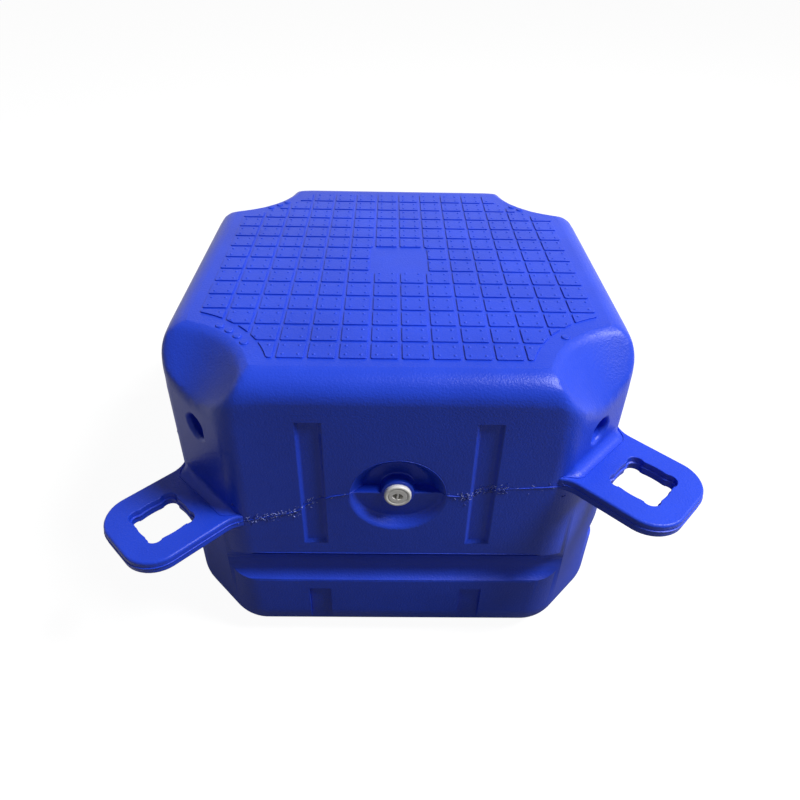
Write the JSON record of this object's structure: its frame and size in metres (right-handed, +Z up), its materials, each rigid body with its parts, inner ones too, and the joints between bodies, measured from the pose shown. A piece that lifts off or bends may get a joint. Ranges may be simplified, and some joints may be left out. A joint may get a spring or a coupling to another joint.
{
  "type": "floating dock cube",
  "caption": "Blow-moulded pontoon float with stepped corner lugs, scooped corners and a deck of tread pads, pinned to its neighbours as a floating dock.",
  "frame": {"origin": "on the ground, under the centre of the deck", "axes": "+Z up to the deck, +Y away from the wall with the vent plug, +X to the right as that wall is seen"},
  "size_m": [0.6212, 0.6212, 0.4],
  "materials": {
    "float": "satin, fine blasted grain",
    "plug": "satin"
  },
  "bodies": {
    "root": {"float_body": "float", "vent_plug": "plug"}
  },
  "joints": []
}
